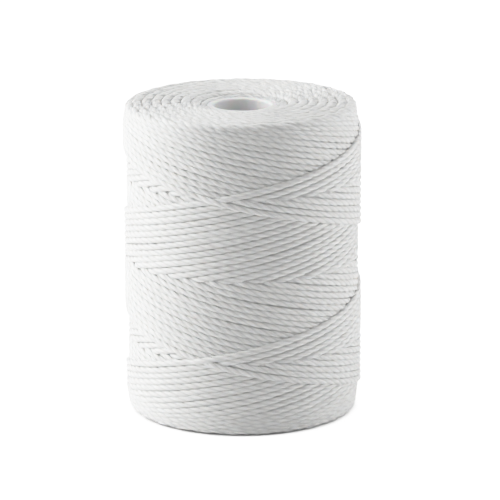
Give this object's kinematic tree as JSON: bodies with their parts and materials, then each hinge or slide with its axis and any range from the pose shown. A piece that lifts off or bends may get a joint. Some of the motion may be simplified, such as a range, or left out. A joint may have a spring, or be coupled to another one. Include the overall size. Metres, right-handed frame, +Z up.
{
  "type": "waxed thread spool",
  "caption": "Small cross-wound cylinder of heavy waxed sewing thread on a plain open tube core, for hand stitching leather.",
  "frame": {"origin": "centre of the base, on the tube's axis, in the plane that the wound package stands on", "axes": "+Z up along the core tube; +X and +Y across it, with the last strand leaving the base at 69 degrees from +X towards +Y"},
  "size_m": [0.0396, 0.0396, 0.052],
  "materials": {
    "waxed_thread": "satin",
    "core_plastic": "matte"
  },
  "bodies": {
    "root": {"core_tube": "core_plastic", "thread_layer_1": "waxed_thread", "thread_layer_2": "waxed_thread", "thread_layer_3": "waxed_thread", "thread_layer_4": "waxed_thread", "thread_layer_5": "waxed_thread", "thread_layer_6": "waxed_thread", "thread_layer_7": "waxed_thread", "thread_layer_8": "waxed_thread", "last_wrap": "waxed_thread"}
  },
  "joints": []
}
